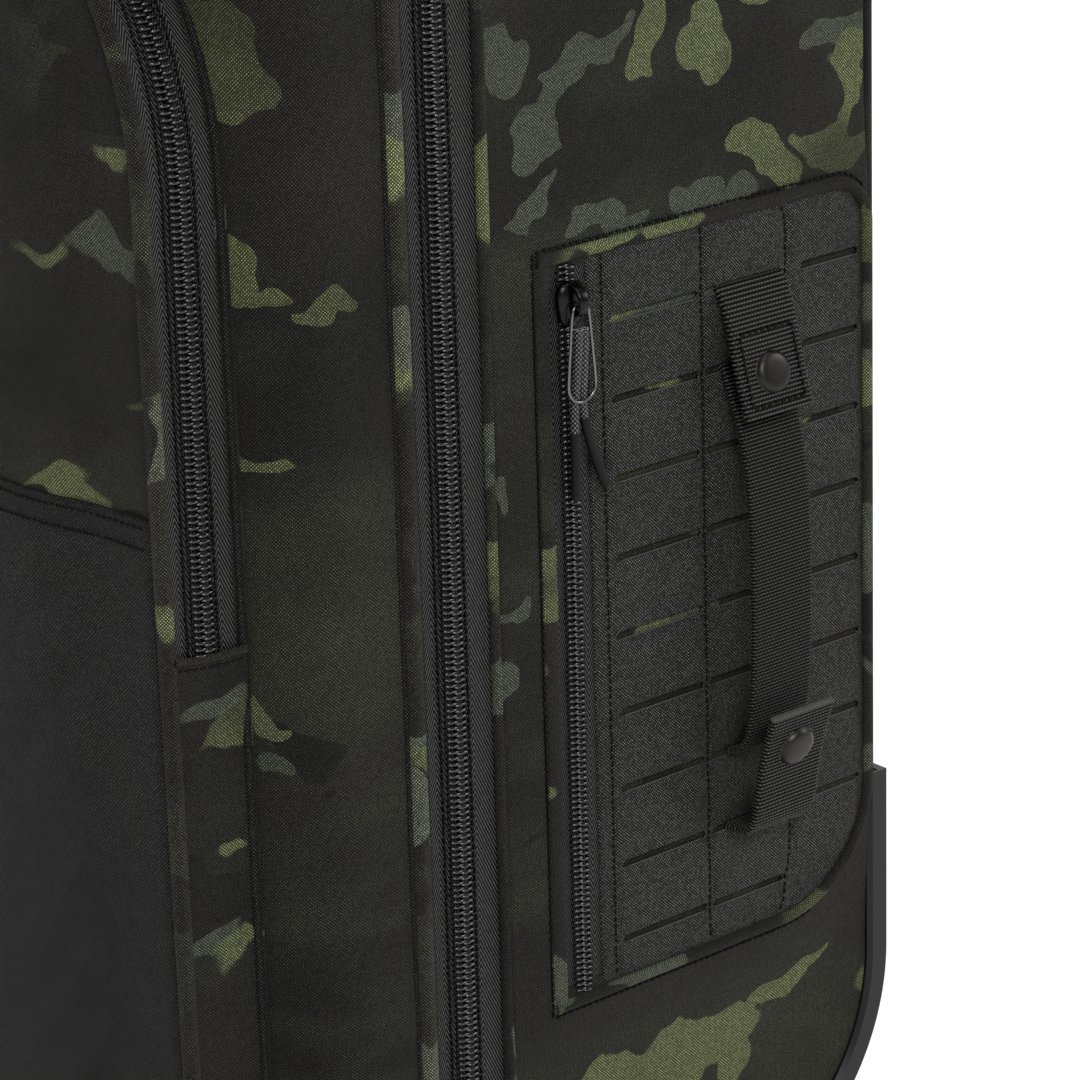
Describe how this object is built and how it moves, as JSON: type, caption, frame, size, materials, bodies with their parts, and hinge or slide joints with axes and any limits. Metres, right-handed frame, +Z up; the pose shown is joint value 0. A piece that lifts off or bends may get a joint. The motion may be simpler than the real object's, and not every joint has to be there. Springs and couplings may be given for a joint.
{
  "type": "rolling duffel bag",
  "caption": "Upright rolling duffel bag with a zip-round lid, front pocket, slotted side panels with strap handles, rear wheels in corner guards and a telescopic handle.",
  "frame": {"origin": "on the floor, under the middle of the bag's box as it stands upright", "axes": "+Z up, +X to the bag's right side when seen from the front, +Y to the back, where the wheels and the telescopic handle are; the lid faces -Y"},
  "size_m": [0.4312, 0.276, 0.7145],
  "materials": {
    "camo_fabric": null,
    "black_nylon": "matt black woven nylon",
    "webbing": "ribbed black webbing",
    "zip_tape": "herringbone tape with a nylon coil",
    "lining": "smooth lining cloth",
    "guard_plastic": "satin moulded plastic",
    "grip_plastic": "fine-textured moulded plastic",
    "sheet_plastic": "plain sheet",
    "tube_metal": "satin anodised",
    "steel": "plated",
    "gunmetal": "dark enamel",
    "tread": "dull",
    "hub_plastic": "satin moulded plastic",
    "cord": "braided cord"
  },
  "bodies": {
    "bag": {"shell_band": "camo_fabric", "back_panel": "black_nylon", "frame_sheet": "sheet_plastic", "lining_wall": "lining", "body_zip": "zip_tape", "side_pocket_right": "black_nylon", "side_pocket_left": "black_nylon", "side_zip_right": "zip_tape", "side_zip_left": "zip_tape", "side_strap_right": "webbing", "side_strap_left": "webbing", "snap_sockets": "gunmetal", "wheel_housing_right": "guard_plastic", "wheel_housing_left": "guard_plastic", "wheel_axles": "steel", "front_feet": "guard_plastic", "skid_rails": "guard_plastic", "housing_screws": "steel", "outer_tubes": "tube_metal", "tube_foot": "sheet_plastic", "handle_bezel": "guard_plastic", "top_handle": "webbing", "bottom_handle": "webbing"},
    "lid": {"lid_shell": "camo_fabric", "lid_zip": "zip_tape", "lower_pocket": "camo_fabric", "lower_pocket_zip": "zip_tape", "scuff_panel": "black_nylon"},
    "handle_middle": {"stage_1_tubes": "tube_metal", "stage_1_collars": "grip_plastic"},
    "handle_inner": {"stage_2_tubes": "tube_metal", "handle_grip": "grip_plastic"},
    "release_button": {"handle_button": "grip_plastic", "release_rods": "steel"},
    "wheel_right": {"tyre_right": "tread", "hub_right": "hub_plastic", "bearings_right": "steel"},
    "wheel_left": {"tyre_left": "tread", "hub_left": "hub_plastic", "bearings_left": "steel"},
    "upper_tab_right": {"upper_tab_right": "webbing"},
    "lower_tab_right": {"lower_tab_right": "webbing"},
    "upper_tab_left": {"upper_tab_left": "webbing"},
    "lower_tab_left": {"lower_tab_left": "webbing"},
    "side_right_slider": {"side_right_slider": "gunmetal"},
    "side_right_pull": {"side_right_pull": "gunmetal", "side_right_cords": "cord"},
    "side_left_slider": {"side_left_slider": "gunmetal"},
    "side_left_pull": {"side_left_pull": "gunmetal", "side_left_cords": "cord"},
    "main_right_slider": {"main_right_slider": "gunmetal"},
    "main_right_pull": {"main_right_pull": "gunmetal", "main_right_cords": "cord"},
    "main_left_slider": {"main_left_slider": "gunmetal"},
    "main_left_pull": {"main_left_pull": "gunmetal", "main_left_cords": "cord"},
    "pocket_slider": {"pocket_slider": "gunmetal"},
    "pocket_pull": {"pocket_pull": "gunmetal", "pocket_cords": "cord"}
  },
  "joints": [
    {"name": "lid_swing", "type": "hinge", "parent": "bag", "child": "lid", "pos_m": [-0.1905, -0.0443, 0.36], "axis": [0, 0, -1], "range_deg": [0, 120]},
    {"name": "handle_stage_1", "type": "slide", "parent": "bag", "child": "handle_middle", "axis": [0, 0, 1], "range_m": [0, 0.18]},
    {"name": "handle_stage_2", "type": "slide", "parent": "handle_middle", "child": "handle_inner", "axis": [0, 0, 1], "range_m": [0, 0.18]},
    {"name": "button_press", "type": "slide", "parent": "handle_inner", "child": "release_button", "axis": [0, 0, -1], "range_m": [0, 0.004], "stiffness_N_per_m": 900, "springref_m": -0.003},
    {"name": "wheel_spin_right", "type": "hinge", "parent": "bag", "child": "wheel_right", "pos_m": [0.15, 0.1, 0.038], "axis": [1, 0, 0], "continuous": true},
    {"name": "wheel_spin_left", "type": "hinge", "parent": "bag", "child": "wheel_left", "pos_m": [-0.15, 0.1, 0.038], "axis": [1, 0, 0], "continuous": true},
    {"name": "upper_tab_right", "type": "hinge", "parent": "bag", "child": "upper_tab_right", "pos_m": [0.1926, 0.0743, 0.3446], "axis": [0, -1, 0], "range_deg": [0, 100]},
    {"name": "lower_tab_right", "type": "hinge", "parent": "bag", "child": "lower_tab_right", "pos_m": [0.1926, 0.0743, 0.1668], "axis": [0, 1, 0], "range_deg": [0, 80]},
    {"name": "upper_tab_left", "type": "hinge", "parent": "bag", "child": "upper_tab_left", "pos_m": [-0.1926, 0.0743, 0.3446], "axis": [0, 1, 0], "range_deg": [0, 100]},
    {"name": "lower_tab_left", "type": "hinge", "parent": "bag", "child": "lower_tab_left", "pos_m": [-0.1926, 0.0743, 0.1668], "axis": [0, -1, 0], "range_deg": [0, 80]},
    {"name": "side_right_zip", "type": "slide", "parent": "bag", "child": "side_right_slider", "axis": [0, 0, -1], "range_m": [0, 0.215]},
    {"name": "side_right_pull", "type": "hinge", "parent": "side_right_slider", "child": "side_right_pull", "pos_m": [0.1975, 0.0015, 0.3535], "axis": [0, -1, 0], "range_deg": [0, 160]},
    {"name": "side_left_zip", "type": "slide", "parent": "bag", "child": "side_left_slider", "axis": [0, 0, -1], "range_m": [0, 0.215]},
    {"name": "side_left_pull", "type": "hinge", "parent": "side_left_slider", "child": "side_left_pull", "pos_m": [-0.1975, 0.0015, 0.3535], "axis": [0, 1, 0], "range_deg": [0, 160]},
    {"name": "main_right_zip", "type": "slide", "parent": "bag", "child": "main_right_slider", "axis": [1, 0, 0], "range_m": [0, 0.115]},
    {"name": "main_right_pull", "type": "hinge", "parent": "main_right_slider", "child": "main_right_pull", "pos_m": [0.012, -0.0443, 0.6989], "axis": [0, -1, 0], "range_deg": [0, 160]},
    {"name": "main_left_zip", "type": "slide", "parent": "bag", "child": "main_left_slider", "axis": [-1, 0, 0], "range_m": [0, 0.115]},
    {"name": "main_left_pull", "type": "hinge", "parent": "main_left_slider", "child": "main_left_pull", "pos_m": [-0.012, -0.0443, 0.6989], "axis": [0, 1, 0], "range_deg": [0, 160]},
    {"name": "pocket_zip", "type": "slide", "parent": "lid", "child": "pocket_slider", "axis": [-1, 0, 0], "range_m": [0, 0.1]},
    {"name": "pocket_pull", "type": "hinge", "parent": "pocket_slider", "child": "pocket_pull", "pos_m": [0.045, -0.123, 0.5173], "axis": [0, -1, 0], "range_deg": [0, 160]}
  ]
}
